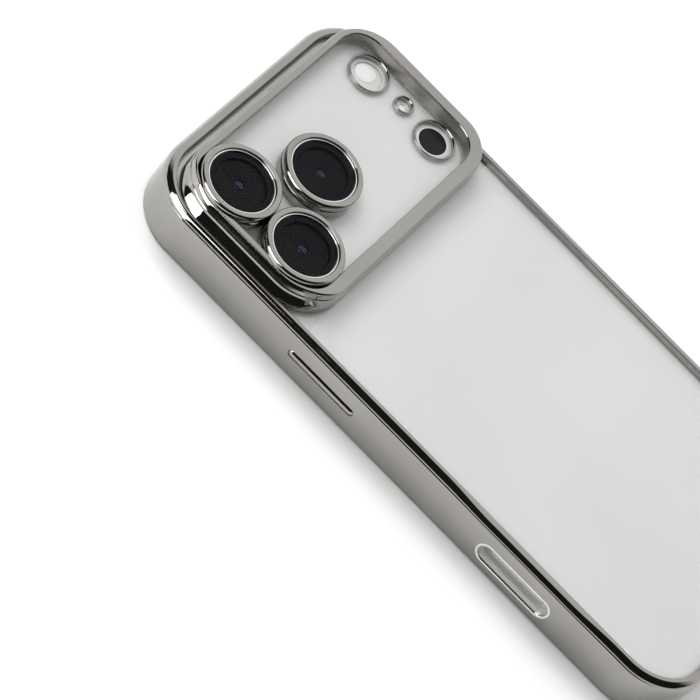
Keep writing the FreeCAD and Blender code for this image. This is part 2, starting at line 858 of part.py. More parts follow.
def make_button(label, side, y, cap_long, proud):
    body = new_body(label)
    face = f"({PHONE_SIDE} + {proud})"
    flange_outer = f"({PHONE_SIDE} - Dims.wall - 0.02)"
    cap = sketch_on(body, "YZ_Plane", f"{side} * {face}")
    draw_slot(cap, y, "Dims.button_z", cap_long, "Dims.button_high")
    cap_pad = pad(body, cap, f"{face} - {flange_outer} + Dims.button_flange", downwards=side > 0)
    level = side * number(face)
    on_face = lambda box: abs(box.XMin - level) < 1e-4 and abs(box.XMax - level) < 1e-4
    fillet_edges(body, cap_pad, "0.2", on_face)
    rim = "2 * Dims.button_flange_rim"
    flange = sketch_on(body, "YZ_Plane", f"{side} * {flange_outer}")
    draw_slot(flange, y, "Dims.button_z", f"{cap_long} + {rim}", f"Dims.button_high + {rim}")
    pad(body, flange, "Dims.button_flange", downwards=side > 0)


# ---------------------------------------------------------------- cameras

def draw_profile(sketch, points):
    """A closed polygon in the sketch's plane, each corner tied to the sheet."""
    values = [FreeCAD.Vector(number(u), number(v), 0) for u, v in points]
    lines = []
    for first, last in zip(values, values[1:] + values[:1]):
        lines.append(sketch.addGeometry(Part.LineSegment(first, last), False))
    for index, line in enumerate(lines):
        following = lines[(index + 1) % len(lines)]
        sketch.addConstraint(Sketcher.Constraint("Coincident", line, 2, following, 1))
    for line, (u, v) in zip(lines, points):
        hold(sketch, "DistanceX", -1, 1, line, 1, size=u)
        hold(sketch, "DistanceY", -1, 1, line, 1, size=v)


def turned(label, x, y, points):
    """A piece of revolution about a Z-parallel axis at (x, y); points are (radius, height)."""
    body = new_body(label)
    sketch = sketch_on(body, "XZ_Plane", 0)
    draw_profile(sketch, points)
    feature = body.newObject("PartDesign::Revolution", f"{label}_revolution")
    feature.Profile = sketch
    feature.ReferenceAxis = (sketch, ["V_Axis"])
    feature.Angle = 360
    body.setExpression("Placement.Base.x", x)
    body.setExpression("Placement.Base.y", y)
    doc.recompute()
    return body


def make_lens_trims():
    """Metal ring on the plateau: a shank through the roof, a seat and a bevelled lip."""
    seat = f"{TRIM_TOP} - Dims.glass_sink - Dims.lens_glass_thick"
    points = (
        ("Dims.trim_aperture", PLATEAU_CEILING),
        ("Dims.trim_shank", PLATEAU_CEILING),
        ("Dims.trim_shank", PLATEAU_TOP),
        ("Dims.trim_radius", PLATEAU_TOP),
        ("Dims.trim_radius", f"{TRIM_TOP} - 0.3"),
        ("Dims.trim_radius - 0.3", TRIM_TOP),
        ("Dims.lens_glass_radius + 0.05", TRIM_TOP),
        ("Dims.lens_glass_radius + 0.05", seat),
        ("Dims.trim_aperture", seat),
    )
    for name, x, y in LENSES:
        turned(f"lens_trim_{name}", x, y, points)


def make_lens_glasses():
    for name, x, y in LENSES:
        bottom = f"{TRIM_TOP} - Dims.glass_sink - Dims.lens_glass_thick"
        disc(f"lens_glass_{name}", x, y, "Dims.lens_glass_radius", bottom, "Dims.lens_glass_thick")


def make_camera_housing():
    """Block that carries the three cameras, bored for each focusing barrel."""
    body = block(
        "camera_housing",
        "Dims.housing_left",
        "Dims.housing_right",
        "Dims.housing_low",
        "Dims.housing_high",
        "Dims.housing_bottom",
        "Dims.housing_top",
        "6",
    )
    inside = "Dims.housing_bottom + Dims.housing_floor"
    for name, x, y in LENSES:
        cut_outline(
            body,
            lambda s: draw_circle(s, x, y, "Dims.carriage_bore"),
            inside,
            f"Dims.housing_top - ({inside})",
        )


def make_carriages():
    """Focusing barrels that slide along Z, each with its glass element near the front."""
    rim = "Dims.carriage_high - 0.9"
    barrel = (
        ("Dims.element_radius", "Dims.carriage_low"),
        ("Dims.carriage_radius", "Dims.carriage_low"),
        ("Dims.carriage_radius", rim),
        ("Dims.carriage_radius - 0.9", "Dims.carriage_high"),
        ("Dims.element_radius + 0.6", "Dims.carriage_high"),
        ("Dims.element_radius", rim),
    )
    for name, x, y in LENSES:
        turned(f"focus_barrel_{name}", x, y, barrel)
        disc(f"focus_element_{name}", x, y, "Dims.element_radius", f"{rim} - 0.8", "1.5")


def make_image_sensors():
    """Three alike chips, one on the floor of each bore."""
    size = FreeCAD.Vector(8.4, 6.4, 0.8)
    bottom = number("Dims.housing_bottom + Dims.housing_floor")
    chips = []
    for name, x, y in LENSES:
        corner = FreeCAD.Vector(number(x) - size.x / 2, number(y) - size.y / 2, bottom)
        chips.append(Part.makeBox(size.x, size.y, size.z, corner))
    add_group("image_sensors", chips)


def make_plateau_sensors():
    flash = ("Dims.flash_x", "Dims.flash_y")
    lidar = ("Dims.lidar_x", "Dims.lidar_y")
    seat = f"{PLATEAU_CEILING} + 0.4"
    cover = "Dims.plateau_roof - 0.3"
    disc("flash_lens", *flash, "Dims.flash_radius", seat, cover)
    disc("flash_led", *flash, "1.6", f"{PLATEAU_CEILING} - 0.6", "1.0")
    disc("lidar_window", *lidar, "Dims.lidar_radius", seat, cover)
    disc("lidar_module", *lidar, "3.2", f"{PLATEAU_CEILING} - 2.2", "2.6")
    mesh = ("Dims.mic_x", "Dims.mic_y", "Dims.mic_radius")
    disc("rear_microphone_mesh", *mesh, f"{PLATEAU_CEILING} + 0.5", "0.3")


# ---------------------------------------------------------------- lower edge

def make_charging_port():
    body = new_body("charging_port_shell")
    mouth = f"({PHONE_END} - 0.1)"
    outer = sketch_on(body, "XZ_Plane", mouth)
    draw_slot(outer, 0, "Dims.button_z", "Dims.port_wide - 0.1", "Dims.port_high - 0.1")
    pad(body, outer, "Dims.port_deep", downwards=True)
    inside = "- 0.1 - 2 * Dims.port_wall"
    cut_lower_edge(
        body,
        mouth,
        "Dims.port_deep - Dims.port_wall",
        lambda s: draw_slot(
            s, 0, "Dims.button_z", f"Dims.port_wide {inside}", f"Dims.port_high {inside}"
        ),
    )
    tongue = new_body("charging_port_tongue")
    root = sketch_on(tongue, "XZ_Plane", f"({mouth} - 1.0)")
    draw_slot(root, 0, "Dims.button_z", "Dims.tongue_wide", "Dims.tongue_thick")
    pad(tongue, root, "Dims.port_deep - Dims.port_wall - 1.0", downwards=True)


def make_bottom_screws():
    """Two screws beside the port, sunk a little, with a star-like round recess in the head."""
    pieces = []
    radius = number("Dims.screw_radius") - 0.03
    long = number("Dims.screw_long")
    end = number(PHONE_END) - 0.15
    along = FreeCAD.Vector(0, 1, 0)
    for side in (-1, 1):
        head = FreeCAD.Vector(side * number("Dims.screw_x"), -end, number("Dims.button_z"))
        screw = Part.makeCylinder(radius, long, head, along)
        for step in range(5):
            turn = FreeCAD.Rotation(along, 72 * step)
            lobe = head + turn.multVec(FreeCAD.Vector(0.3, 0, 0))
            screw = screw.cut(Part.makeCylinder(0.2, 0.5, lobe, along))
        pieces.append(screw.Solids[0])
    add_group("bottom_screws", pieces)


def make_sound_meshes():
    """A fine mesh strip behind each row of sound holes."""
    face = number(PHONE_END) - number("Dims.wall")
    strips = []
    for side in (-1, 1):
        corner = FreeCAD.Vector(
            side * number("Dims.sound_x") - 5.5, -face, number("Dims.button_z") - 1.1
        )
        strips.append(Part.makeBox(11.0, 0.3, 2.2, corner))
    add_group("sound_hole_meshes", strips)


# ---------------------------------------------------------------- inside

def make_battery():
    block(
        "battery",
        "-Dims.battery_half_width",
        "Dims.battery_half_width",
        "Dims.battery_low",
        "Dims.battery_high",
        "Dims.battery_bottom",
        "Dims.battery_top",
        "3",
    )


def make_charging_coil():
    y = "Dims.coil_y"
    low = "Dims.coil_bottom"
    disc("charging_coil", "0.001", y, "Dims.coil_outer", low, "Dims.coil_thick", "Dims.coil_inner")
    disc("magnet_ring", "0.001", y, "Dims.magnet_outer - 0.2", low, "Dims.coil_thick", "Dims.magnet_inner")


def make_logic_board():
    sides = ("Dims.board_left", "Dims.board_right", "Dims.board_low", "Dims.board_high")
    top = "Dims.board_bottom + Dims.board_thick"
    block("logic_board", *sides, "Dims.board_bottom", top, "2")
    inner = (
        "Dims.board_left + Dims.shield_margin",
        "Dims.board_right - Dims.shield_margin",
        "Dims.board_low + Dims.shield_margin",
        "Dims.board_high - Dims.shield_margin",
    )
    block("board_shield_front", *inner, "Dims.board_bottom - 1.2", "Dims.board_bottom", "1")
    block("board_shield_rear", *inner, top, f"{top} + 1.6", "1")


def make_front_modules():
    """Face-side camera and depth sensor above the board, and the earpiece at the top edge."""
    low = "Dims.board_high + 0.8"
    high = "Dims.housing_high"
    bottom = f"{PANEL_BACK} + 0.1"
    block("front_camera_module", "5.6", "13.6", low, high, bottom, f"{PANEL_BACK} + 3.0")
    block("face_sensor_module", "14.6", "26.0", low, high, bottom, f"{PANEL_BACK} + 2.6")
    block("earpiece_speaker", "-9", "9", f"{high} + 0.3", "72.3", bottom, f"{PANEL_BACK} + 2.4")


def make_loudspeaker():
    block("loudspeaker", "7.4", "26.4", "-71.6", "-53.0", "4.1", "8.1", "2")


def make_haptic_motor():
    """Closed box with a heavy block that shuttles along X inside it."""
    ends = ("Dims.haptic_left", "Dims.haptic_right", "Dims.haptic_low", "Dims.haptic_high")
    body = block("haptic_housing", *ends, "Dims.haptic_bottom", "Dims.haptic_top")
    skin = "Dims.haptic_skin"
    cut_outline(
        body,
        lambda s: draw_outline(
            s,
            f"Dims.haptic_left + {skin}",
            f"Dims.haptic_right - {skin}",
            f"Dims.haptic_low + {skin}",
            f"Dims.haptic_high - {skin}",
            "0.3",
        ),
        f"Dims.haptic_bottom + {skin}",
        f"Dims.haptic_top - Dims.haptic_bottom - 2 * {skin}",
    )
    clear = f"({skin} + 0.3)"
    block(
        "haptic_mass",
        f"Dims.haptic_left + {clear} + Dims.haptic_travel",
        f"Dims.haptic_right - {clear} - Dims.haptic_travel",
        f"Dims.haptic_low + {clear}",
        f"Dims.haptic_high - {clear}",
        f"Dims.haptic_bottom + {clear}",
        f"Dims.haptic_top - {clear}",
        "0.8",
    )


def make_port_flex():
    """Thin ribbon from the port to the board, under the battery."""
    block("port_flex", "-4", "4", "-67", "-52.0", "3.75", "3.85", "1")


def check_document():
    doc.recompute()
    for item in doc.Objects:
        if "Invalid" in item.State or "Error" in item.State:
            raise RuntimeError(f"{item.Label} is {item.State}")
    for item in subparts:
        if item.Shape.isNull() or not item.Shape.isValid():
            raise RuntimeError(f"{item.Label} has no valid shape")


def export_subparts():
    os.makedirs("parts", exist_ok=True)
    for item in subparts:
        item.Shape.exportStep(f"parts/{item.Label}.step")


fill_sheet()
make_case_bumper()
make_case_back_plate()
make_case_plateau_window()
make_case_collars()
make_case_eyelets()
make_case_pads()
make_enclosure()
make_antenna_bands()
make_glass_and_display()
make_buttons()
make_lens_trims()
make_lens_glasses()
make_camera_housing()
make_carriages()
make_image_sensors()
make_plateau_sensors()
make_charging_port()
make_bottom_screws()
make_sound_meshes()
make_battery()
make_charging_coil()
make_logic_board()
make_front_modules()
make_loudspeaker()
make_haptic_motor()
make_port_flex()
check_document()
export_subparts()
print(f"{len(subparts)} sub-parts")
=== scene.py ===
import json
import math

import bmesh
import bpy
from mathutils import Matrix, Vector


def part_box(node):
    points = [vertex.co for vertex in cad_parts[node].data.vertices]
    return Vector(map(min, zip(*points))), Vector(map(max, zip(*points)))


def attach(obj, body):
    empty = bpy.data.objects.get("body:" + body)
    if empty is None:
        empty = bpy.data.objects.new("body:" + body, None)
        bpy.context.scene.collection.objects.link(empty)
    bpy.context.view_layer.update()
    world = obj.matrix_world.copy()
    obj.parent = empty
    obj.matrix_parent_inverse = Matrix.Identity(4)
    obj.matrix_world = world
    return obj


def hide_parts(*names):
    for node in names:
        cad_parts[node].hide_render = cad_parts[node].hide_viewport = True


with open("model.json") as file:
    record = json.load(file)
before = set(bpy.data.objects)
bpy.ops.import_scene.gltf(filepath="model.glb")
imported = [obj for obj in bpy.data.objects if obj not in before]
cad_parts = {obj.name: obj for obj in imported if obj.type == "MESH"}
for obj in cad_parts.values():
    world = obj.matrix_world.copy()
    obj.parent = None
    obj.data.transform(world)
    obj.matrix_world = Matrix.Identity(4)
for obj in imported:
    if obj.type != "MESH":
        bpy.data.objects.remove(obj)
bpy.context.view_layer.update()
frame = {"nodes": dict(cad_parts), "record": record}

MM = 0.001
ROOT = "phone_in_case"
LENSES = ("wide", "ultrawide", "telephoto")
SENSORS = ("flash", "microphone", "lidar")
PADS = ("power", "volume_up", "volume_down", "action")


# ---------------------------------------------------------------- sizes read from the frame

def low(node):
    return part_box(node)[0]


def high(node):
    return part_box(node)[1]


def centre(node):
    return (low(node) + high(node)) / 2


# ---------------------------------------------------------------- mesh helpers

def make_object(name, verts, faces, smooth_angle=30.0):
    mesh = bpy.data.meshes.new(name)
    mesh.from_pydata([tuple(v) for v in verts], [], [tuple(f) for f in faces])
    mesh.validate()
    obj = bpy.data.objects.new(name, mesh)
    bpy.context.scene.collection.objects.link(obj)
    tidy_mesh(obj)
    shade(obj, smooth_angle)
    return obj


def tidy_mesh(obj):
    """Joins doubled points, drops slivers and turns every face outwards."""
    work = bmesh.new()
    work.from_mesh(obj.data)
    bmesh.ops.remove_doubles(work, verts=work.verts, dist=0.5e-6)
    bmesh.ops.dissolve_degenerate(work, edges=work.edges, dist=0.2e-6)
    bmesh.ops.recalc_face_normals(work, faces=work.faces)
    work.to_mesh(obj.data)
    work.free()


def shade(obj, smooth_angle):
    """Smooth shading, with edges sharper than the angle kept crisp."""
    obj.data.shade_smooth()
    obj.data.set_sharp_from_angle(angle=math.radians(smooth_angle))


def arc(cx, cz, rx, rz, start, end, steps):
    """Points of a quarter-like elliptic arc in a section, angles in degrees from +inset."""
    points = []
    for step in range(steps + 1):
        turn = math.radians(start + (end - start) * step / steps)
        points.append((cx + rx * math.cos(turn), cz + rz * math.sin(turn)))
    return points


def lathe(name, centre_xy, section, segments=160, smooth_angle=30.0):
    """Turns a section of (radius, height) round an axis parallel to Z. A radius of 0 closes it."""
    verts = []
    rings = []
    for radius, height in section:
        if radius <= 1e-9:
            rings.append([len(verts)])
            verts.append((centre_xy[0], centre_xy[1], height))
            continue
        ring = []
        for step in range(segments):
            turn = 2 * math.pi * step / segments
            ring.append(len(verts))
            verts.append(
                (
                    centre_xy[0] + radius * math.cos(turn),
                    centre_xy[1] + radius * math.sin(turn),
                    height,
                )
            )
        rings.append(ring)
    faces = []
    closed = section[0][0] > 1e-9 and section[-1][0] > 1e-9
    pairs = list(zip(rings, rings[1:]))
    if closed:
        pairs.append((rings[-1], rings[0]))
    for first, second in pairs:
        for step in range(segments):
            after = (step + 1) % segments
            if len(first) == 1 and len(second) == 1:
                continue
            if len(first) == 1:
                faces.append((first[0], second[step], second[after]))
            elif len(second) == 1:
                faces.append((first[step], first[after], second[0]))
            else:
                faces.append((first[step], first[after], second[after], second[step]))
    return make_object(name, verts, faces, smooth_angle)


def outline(x0, x1, y0, y1, radii, arc_steps=20, side_steps=1):
    """Samples (x, y, nx, ny) round a rectangle; radii are of the corners from (x1, y0) round."""
    corners = ((x1, y0, -90), (x1, y1, 0), (x0, y1, 90), (x0, y0, 180))
    samples = []
    for index, (cx, cy, start) in enumerate(corners):
        radius = radii[index]
        ax = cx - radius if cx == x1 else cx + radius
        ay = cy + radius if cy == y0 else cy - radius
        for step in range(arc_steps + 1):
            turn = math.radians(start + 90 * step / arc_steps)
            nx, ny = math.cos(turn), math.sin(turn)
            samples.append((ax + radius * nx, ay + radius * ny, nx, ny))
        following = corners[(index + 1) % 4]
        next_radius = radii[(index + 1) % 4]
        bx = following[0] - next_radius if following[0] == x1 else following[0] + next_radius
        by = following[1] + next_radius if following[1] == y0 else following[1] - next_radius
        turn = math.radians(following[2])
        end = (bx + next_radius * math.cos(turn), by + next_radius * math.sin(turn))
        start_point = samples[-1]
        for step in range(1, side_steps):
            share = step / side_steps
            samples.append(
                (
                    start_point[0] + (end[0] - start_point[0]) * share,
                    start_point[1] + (end[1] - start_point[1]) * share,
                    math.cos(turn),
                    math.sin(turn),
                )
            )
    return samples


def loft(name, rows, smooth_angle=30.0):
    """Skins a ring of sections; rows[i][j] is point j of the section at sample i."""
    count = len(rows[0])
    verts = [point for row in rows for point in row]
    faces = []
    for index in range(len(rows)):
        after = (index + 1) % len(rows)
        for step in range(count):
            up = (step + 1) % count
            faces.append(
                (
                    index * count + step,
                    after * count + step,
                    after * count + up,
                    index * count + up,
                )
            )
    return make_object(name, verts, faces, smooth_angle)


def boolean(obj, cutter, operation):
    modifier = obj.modifiers.new(operation.lower(), "BOOLEAN")
    modifier.operation = operation
    modifier.solver = "EXACT"
    modifier.object = cutter
    apply_modifiers(obj)
    bpy.data.objects.remove(cutter)


def apply_modifiers(obj):
    graph = bpy.context.evaluated_depsgraph_get()
    mesh = bpy.data.meshes.new_from_object(obj.evaluated_get(graph))
    obj.modifiers.clear()
    old = obj.data
    obj.data = mesh
    bpy.data.meshes.remove(old)


def slot_ring(length, height, inset, steps=16):
    """Outline of a slot with round ends in its own (u, v) plane, with outward normals."""
    radius = height / 2 - inset
    reach = length / 2 - height / 2
    points = []
    for end, start in ((reach, -90), (-reach, 90)):
        for step in range(steps + 1):
            turn = math.radians(start + 180 * step / steps)
            points.append(
                (
                    end + radius * math.cos(turn),
                    radius * math.sin(turn),
                    math.cos(turn),
                    math.sin(turn),
                )
            )
    return points


def slot_solid(name, length, height, layers, place, steps=16, angle=30.0):
    """A slot-shaped solid from layers of (inset, depth); place(u, v, w) puts a point in space."""
    rows = []
    for inset, depth in layers:
        ring = [place(u, v, depth) for u, v, _, _ in slot_ring(length, height, inset, steps)]
        rows.append(ring)
    count = len(rows[0])
    verts = [point for row in rows for point in row]
    faces = []
    for level in range(len(rows) - 1):
        for step in range(count):
            after = (step + 1) % count
            faces.append(
                (
                    level * count + step,
                    level * count + after,
                    (level + 1) * count + after,
                    (level + 1) * count + step,
                )
            )
    faces.append(tuple(range(count - 1, -1, -1)))
    faces.append(tuple(range((len(rows) - 1) * count, len(rows) * count)))
    return make_object(name, verts, faces, angle)


# ---------------------------------------------------------------- materials

def node(tree, kind, **values):
    item = tree.nodes.new(kind)
    for key, value in values.items():
        setattr(item, key, value)
    return item


def new_material(name, **sockets):
    """A Principled material with its constant numbers set on the shader's own sockets."""
    material = bpy.data.materials.new(name)
    material.use_nodes = True
    shader = material.node_tree.nodes["Principled BSDF"]
    for key, value in sockets.items():
        shader.inputs[key.replace("_", " ")].default_value = value
    return material, material.node_tree, shader


def noise(tree, scale, detail=3.0):
    """Noise over the object's own metres, with the feature size given per metre."""
    coords = node(tree, "ShaderNodeTexCoord")
    texture = node(tree, "ShaderNodeTexNoise")
    texture.inputs["Scale"].default_value = scale
    texture.inputs["Detail"].default_value = detail
    tree.links.new(coords.outputs["Object"], texture.inputs["Vector"])
    return texture.outputs["Fac"]


def spread(tree, source, low_value, high_value):
    """Maps the middle of a 0..1 source to a range of numbers."""
    item = node(tree, "ShaderNodeMapRange")
    item.inputs["From Min"].default_value = 0.3
    item.inputs["From Max"].default_value = 0.7
    item.inputs["To Min"].default_value = low_value
    item.inputs["To Max"].default_value = high_value
    tree.links.new(source, item.inputs["Value"])
    return item.outputs["Result"]


def tint(tree, source, first, second):
    """Blends two colours by a 0..1 source."""
    ramp = node(tree, "ShaderNodeValToRGB")
    ramp.color_ramp.elements[0].color = (*first, 1)
    ramp.color_ramp.elements[1].color = (*second, 1)
    ramp.color_ramp.elements[0].position = 0.35
    ramp.color_ramp.elements[1].position = 0.65
    tree.links.new(source, ramp.inputs["Fac"])
    return ramp.outputs["Color"]


def bump(tree, shader, source, depth):
    item = node(tree, "ShaderNodeBump")
    item.inputs["Distance"].default_value = depth
    tree.links.new(source, item.inputs["Height"])
    tree.links.new(item.outputs["Normal"], shader.inputs["Normal"])


def finish_surface(tree, shader, colours, rough, grain, blotch=60.0, depth=0.0):
    """Slight blotches of colour, uneven gloss and, if asked, a fine relief."""
    tree.links.new(tint(tree, noise(tree, blotch, 4.0), *colours), shader.inputs["Base Color"])
    tree.links.new(spread(tree, noise(tree, blotch * 3, 5.0), *rough), shader.inputs["Roughness"])
    if depth:
        bump(tree, shader, noise(tree, grain, 3.0), depth)


def plated_metal():
    """Bright grey plating over moulded plastic: near mirror, with faint smears and waviness."""
    material, tree, shader = new_material("plated_metal", Metallic=1.0)
    finish_surface(
        tree, shader, ((0.335, 0.325, 0.305), (0.375, 0.365, 0.345)), (0.035, 0.10), 120.0, 45.0, 4e-6
    )
    return material


def plated_satin():
    """The same plating over a matt mould face, as on the inner wall of the camera frame."""
    material, tree, shader = new_material("plated_satin", Metallic=1.0)
    finish_surface(
        tree, shader, ((0.40, 0.39, 0.37), (0.44, 0.43, 0.41)), (0.36, 0.46), 2500.0, 45.0, 3e-6
    )
    return material


def polished_steel():
    material, tree, shader = new_material("polished_steel", Metallic=1.0)
    finish_surface(tree, shader, ((0.80, 0.80, 0.79), (0.88, 0.88, 0.87)), (0.08, 0.16), 900.0, 80.0, 2e-6)
    return material


def satin_metal():
    """Blasted and anodised pale metal of the phone's shell and buttons."""
    material, tree, shader = new_material("satin_metal", Metallic=0.35)
    finish_surface(
        tree, shader, ((0.56, 0.565, 0.56), (0.60, 0.605, 0.60)), (0.38, 0.48), 9000.0, 40.0, 3e-6
    )
    return material


def frosted_glass():
    """Milky rear glass: pale colour under a fine matt etch."""
    material, tree, shader = new_material("frosted_glass", IOR=1.5)
    finish_surface(
        tree, shader, ((0.555, 0.56, 0.555), (0.58, 0.585, 0.58)), (0.42, 0.52), 12000.0, 25.0, 2e-6
    )
    return material


def clear_plastic(name, alpha):
    """Clear moulded sheet with a few soft smears on its gloss."""
    material, tree, shader = new_material(name, Alpha=alpha, IOR=1.49)
    finish_surface(tree, shader, ((0.86, 0.87, 0.86), (0.90, 0.91, 0.90)), (0.02, 0.09), 200.0, 30.0)
    return material


def black_glass():
    """Screen glass: deep black with a light film of finger marks."""
    material, tree, shader = new_material("black_glass", IOR=1.52, Coat_Weight=0.6, Coat_Roughness=0.03)
    finish_surface(tree, shader, ((0.006, 0.006, 0.007), (0.010, 0.010, 0.012)), (0.04, 0.14), 300.0, 35.0)
    return material


def lens_cover():
    """Coated cover glass: see-through, with a dark tint."""
    material, tree, shader = new_material("lens_cover", Alpha=0.22, IOR=1.2)
    finish_surface(tree, shader, ((0.004, 0.004, 0.006), (0.007, 0.007, 0.010)), (0.02, 0.05), 300.0, 90.0)
    return material


def black_matte(name="black_matte", level=0.006, rough=(0.35, 0.55), ior=1.45):
    material, tree, shader = new_material(name, IOR=ior)
    first = (level, level, level * 1.08)
    second = (level * 1.5, level * 1.5, level * 1.65)
    finish_surface(tree, shader, (first, second), rough, 5000.0, 200.0, 3e-6)
    return material


def coated_element():
    """Small front element with a blue-violet coating."""
    material, tree, shader = new_material(
        "coated_element", Metallic=0.75, Coat_Weight=1.0, Coat_Roughness=0.02
    )
    ramp = tint(tree, noise(tree, 900.0), (0.022, 0.02, 0.10), (0.04, 0.03, 0.14))
    tree.links.new(ramp, shader.inputs["Base Color"])
    tree.links.new(spread(tree, noise(tree, 400.0), 0.06, 0.12), shader.inputs["Roughness"])
    return material


def plain_finish(name, first, second, rough, metallic=0.0, grain=3000.0, depth=3e-6, **sockets):
    """Any other moulded, stamped or wound surface, with its own grain."""
    material, tree, shader = new_material(name, Metallic=metallic, **sockets)
    finish_surface(tree, shader, (first, second), rough, grain, 120.0, depth)
    return material


MATERIALS = {
    "case_plated": plated_metal(),
    "case_clear": clear_plastic("clear_plastic", 0.10),
    "metal_silver": satin_metal(),
    "rear_glass": frosted_glass(),
    "cover_glass": black_glass(),
    "lens_glass": lens_cover(),
    "display": black_matte("display_black", 0.004, (0.2, 0.3)),
    "black_seal": black_matte("seal_rubber", 0.02, (0.6, 0.8)),
    "white_inlay": plain_finish("white_inlay", (0.72, 0.72, 0.71), (0.77, 0.77, 0.76), (0.4, 0.5)),
    "trim_ring": polished_steel(),
    "flash_cover": plain_finish(
        "flash_cover", (0.66, 0.66, 0.65), (0.74, 0.74, 0.73), (0.1, 0.18), 0.0, 2500.0, 6e-6
    ),
    "flash_chip": plain_finish("flash_chip", (0.85, 0.66, 0.16), (0.9, 0.74, 0.22), (0.5, 0.6)),
    "sensor_black": black_matte("sensor_black", 0.008, (0.08, 0.16), 1.25),
    "mesh_dark": plain_finish(
        "mesh_dark", (0.05, 0.05, 0.05), (0.12, 0.12, 0.12), (0.35, 0.5), 0.8, 6000.0, 3e-5
    ),
    "steel": plain_finish("steel", (0.55, 0.55, 0.54), (0.62, 0.62, 0.61), (0.22, 0.34), 1.0),
    "battery_wrap": black_matte("battery_wrap", 0.015, (0.3, 0.45)),
    "board": plain_finish("board", (0.012, 0.05, 0.03), (0.02, 0.075, 0.045), (0.35, 0.5)),
    "shield_can": plain_finish("shield_can", (0.55, 0.55, 0.55), (0.63, 0.63, 0.62), (0.25, 0.35), 1.0),
    "housing_black": black_matte("housing_black", 0.02, (0.45, 0.6)),
    "barrel_black": black_matte("barrel_black", 0.003, (0.3, 0.45), 1.3),
    "sensor_chip": plain_finish("sensor_chip", (0.03, 0.03, 0.05), (0.06, 0.05, 0.08), (0.1, 0.2), 0.5),
    "copper": plain_finish("copper", (0.55, 0.25, 0.12), (0.65, 0.32, 0.16), (0.25, 0.4), 1.0),
    "magnet": plain_finish("magnet", (0.3, 0.3, 0.31), (0.36, 0.36, 0.37), (0.25, 0.4), 1.0),
    "heavy_metal": plain_finish("heavy_metal", (0.25, 0.25, 0.26), (0.32, 0.32, 0.33), (0.3, 0.45), 1.0),
    "flex": plain_finish("flex", (0.30, 0.12, 0.02), (0.36, 0.16, 0.03), (0.35, 0.5)),
    "connector_black": black_matte("connector_black", 0.01, (0.4, 0.55)),
}
COATED = coated_element()
SATIN = plated_satin()
FLASH_BED = plain_finish("flash_bed", (0.50, 0.50, 0.49), (0.56, 0.56, 0.55), (0.2, 0.3), 0.0, 2500.0, 6e-6)
# Lighter copy of the phone's satin metal: painted light that lifts the camera control button and its
# opening out of the shade of the recess.
SATIN_PAINTED_LIGHT = plain_finish(
    "satin_painted_light", (0.80, 0.81, 0.78), (0.86, 0.87, 0.84), (0.3, 0.4), 0.15, 9000.0, 2e-6
)
PALE_MESH = plain_finish(
    "pale_mesh", (0.66, 0.66, 0.65), (0.76, 0.76, 0.75), (0.3, 0.45), 0.3, 9000.0, 2e-5
)


def dress(obj, slot, material=None):
    obj.data.materials.clear()
    obj.data.materials.append(material or MATERIALS[slot])


def place_piece(obj, body, slot, replaced=(), material=None):
    dress(obj, slot, material)
    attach(obj, body)
    if replaced:
        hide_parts(*replaced)
    return obj


def dress_frame():
    """Every carried-over CAD node takes the finish of its slot."""
    slots = {entry["node"]: entry["material_slot"] for entry in frame["record"]["subparts"]}
    for name, obj in frame["nodes"].items():
        dress(obj, slots[name])
        shade(obj, 25.0)
    # The camera control button takes the lighter satin, painted light against the shade of its recess.
    dress(frame["nodes"]["camera_control_button"], "metal_silver", SATIN_PAINTED_LIGHT)


# ---------------------------------------------------------------- case bumper

CASE_HIGH = high("case_bumper")
HALF_WIDTH = CASE_HIGH.x
HALF_LENGTH = CASE_HIGH.y
CASE_CORNER = 14.0 * MM
RIM_TOP = 11.9 * MM
RIM_WIDTH = low("case_back_plate").x + HALF_WIDTH
PLATE_BOTTOM = low("case_back_plate").z
WINDOW_TOP = high("case_plateau_window").z
WINDOW_BOTTOM = low("case_plateau_window").z
PHONE_FRONT = low("display_cover_glass").z
WALL = HALF_WIDTH - high("enclosure").x - 0.05 * MM
CONTROL_Y = centre("camera_control_button").y
CONTROL_Z = 5.2 * MM
CUTOUT_LONG = 18.8 * MM
CUTOUT_HIGH = 4.4 * MM
SWELL = 0.34 * MM
PAD_GAP = 0.16 * MM


def smooth_step(value):
    value = min(max(value, 0.0), 1.0)
    return value * value * (3 - 2 * value)


def swell_at(y, on_control_side):
    """How far the wall has swollen round the camera control: 0 away from it, 1 beside it."""
    if not on_control_side:
        return 0.0
    reach = CUTOUT_LONG / 2 + 2.6 * MM
    fade = 12.0 * MM
    return smooth_step((reach + fade - abs(y - CONTROL_Y)) / fade)


